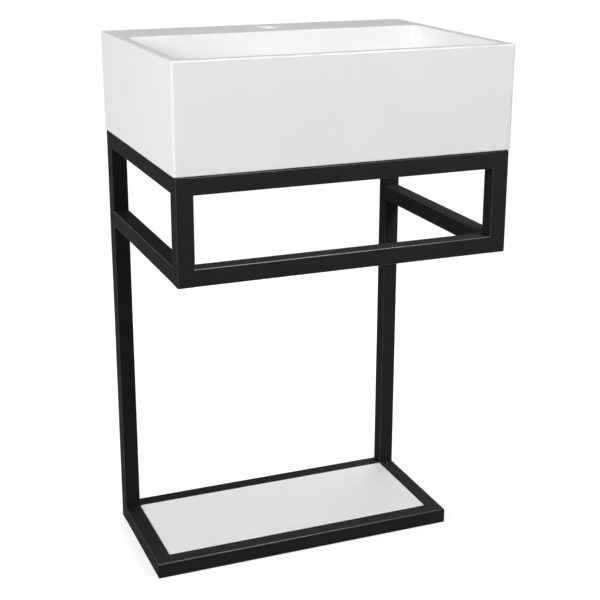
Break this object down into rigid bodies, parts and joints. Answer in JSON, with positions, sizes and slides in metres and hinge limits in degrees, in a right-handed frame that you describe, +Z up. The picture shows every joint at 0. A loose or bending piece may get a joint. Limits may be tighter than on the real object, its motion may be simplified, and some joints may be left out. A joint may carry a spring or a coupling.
{
  "type": "pedestal sink",
  "caption": "Rectangular ceramic washbasin with a tap ledge, standing on an open black square-tube frame with a low white shelf in its base ring.",
  "frame": {"origin": "on the floor, under the middle of the basin's width and depth", "axes": "+Z up, +Y towards the wall behind the basin, +X to the right of a user facing it"},
  "size_m": [0.5, 0.375, 0.816],
  "materials": {
    "glazed_ceramic": "gloss white vitreous glaze over fireclay",
    "black_powder_coat": "satin black powder coat on welded square steel tube",
    "white_solid_surface": "matt white mineral-filled acrylic (solid surface)",
    "silicone_pad": "translucent silicone",
    "zinc_plated_steel": "bright zinc plated",
    "nylon": "natural moulded nylon",
    "chrome": "polished chrome plate on brass",
    "brass": "bare machined brass",
    "rubber": "black EPDM rubber"
  },
  "bodies": {
    "stand": {"basin": "glazed_ceramic", "left_leg": "black_powder_coat", "right_leg": "black_powder_coat", "left_front_post": "black_powder_coat", "right_front_post": "black_powder_coat", "front_top_rail": "black_powder_coat", "rear_top_rail": "black_powder_coat", "left_top_rail": "black_powder_coat", "right_top_rail": "black_powder_coat", "front_lower_rail": "black_powder_coat", "left_lower_rail": "black_powder_coat", "right_lower_rail": "black_powder_coat", "base_front_rail": "black_powder_coat", "base_rear_rail": "black_powder_coat", "base_left_rail": "black_powder_coat", "base_right_rail": "black_powder_coat", "left_leg_top_cap": "black_powder_coat", "left_leg_bottom_cap": "black_powder_coat", "right_leg_top_cap": "black_powder_coat", "right_leg_bottom_cap": "black_powder_coat", "left_front_post_top_cap": "black_powder_coat", "left_front_post_bottom_cap": "black_powder_coat", "right_front_post_top_cap": "black_powder_coat", "right_front_post_bottom_cap": "black_powder_coat", "shelf_tab_front_left": "black_powder_coat", "shelf_tab_front_right": "black_powder_coat", "shelf_tab_rear_left": "black_powder_coat", "shelf_tab_rear_right": "black_powder_coat", "shelf_panel": "white_solid_surface", "shelf_pad_front_left": "silicone_pad", "shelf_pad_front_right": "silicone_pad", "shelf_pad_rear_left": "silicone_pad", "shelf_pad_rear_right": "silicone_pad", "basin_pad_front_left": "silicone_pad", "basin_pad_front_right": "silicone_pad", "basin_pad_rear_left": "silicone_pad", "basin_pad_rear_right": "silicone_pad", "foot_socket_front_left": "zinc_plated_steel", "foot_socket_front_right": "zinc_plated_steel", "foot_socket_rear_left": "zinc_plated_steel", "foot_socket_rear_right": "zinc_plated_steel", "slip_washer": "nylon", "waste_flange": "chrome", "waste_tail": "chrome", "back_nut": "brass", "plug_spider": "brass", "plug_cartridge": "brass", "flange_gasket": "rubber", "basin_gasket": "rubber"},
    "plug": {"waste_plug": "chrome", "plug_seal": "rubber"},
    "foot_front_left": {"levelling_foot_front_left": "nylon"},
    "foot_front_right": {"levelling_foot_front_right": "nylon"},
    "foot_rear_left": {"levelling_foot_rear_left": "nylon"},
    "foot_rear_right": {"levelling_foot_rear_right": "nylon"}
  },
  "joints": [
    {"name": "plug_lift", "type": "slide", "parent": "stand", "child": "plug", "axis": [0, 0, 1], "range_m": [0, 0.008]},
    {"name": "front_left_foot_screw", "type": "slide", "parent": "stand", "child": "foot_front_left", "axis": [0, 0, -1], "range_m": [0, 0.01]},
    {"name": "front_right_foot_screw", "type": "slide", "parent": "stand", "child": "foot_front_right", "axis": [0, 0, -1], "range_m": [0, 0.01]},
    {"name": "rear_left_foot_screw", "type": "slide", "parent": "stand", "child": "foot_rear_left", "axis": [0, 0, -1], "range_m": [0, 0.01]},
    {"name": "rear_right_foot_screw", "type": "slide", "parent": "stand", "child": "foot_rear_right", "axis": [0, 0, -1], "range_m": [0, 0.01]}
  ]
}
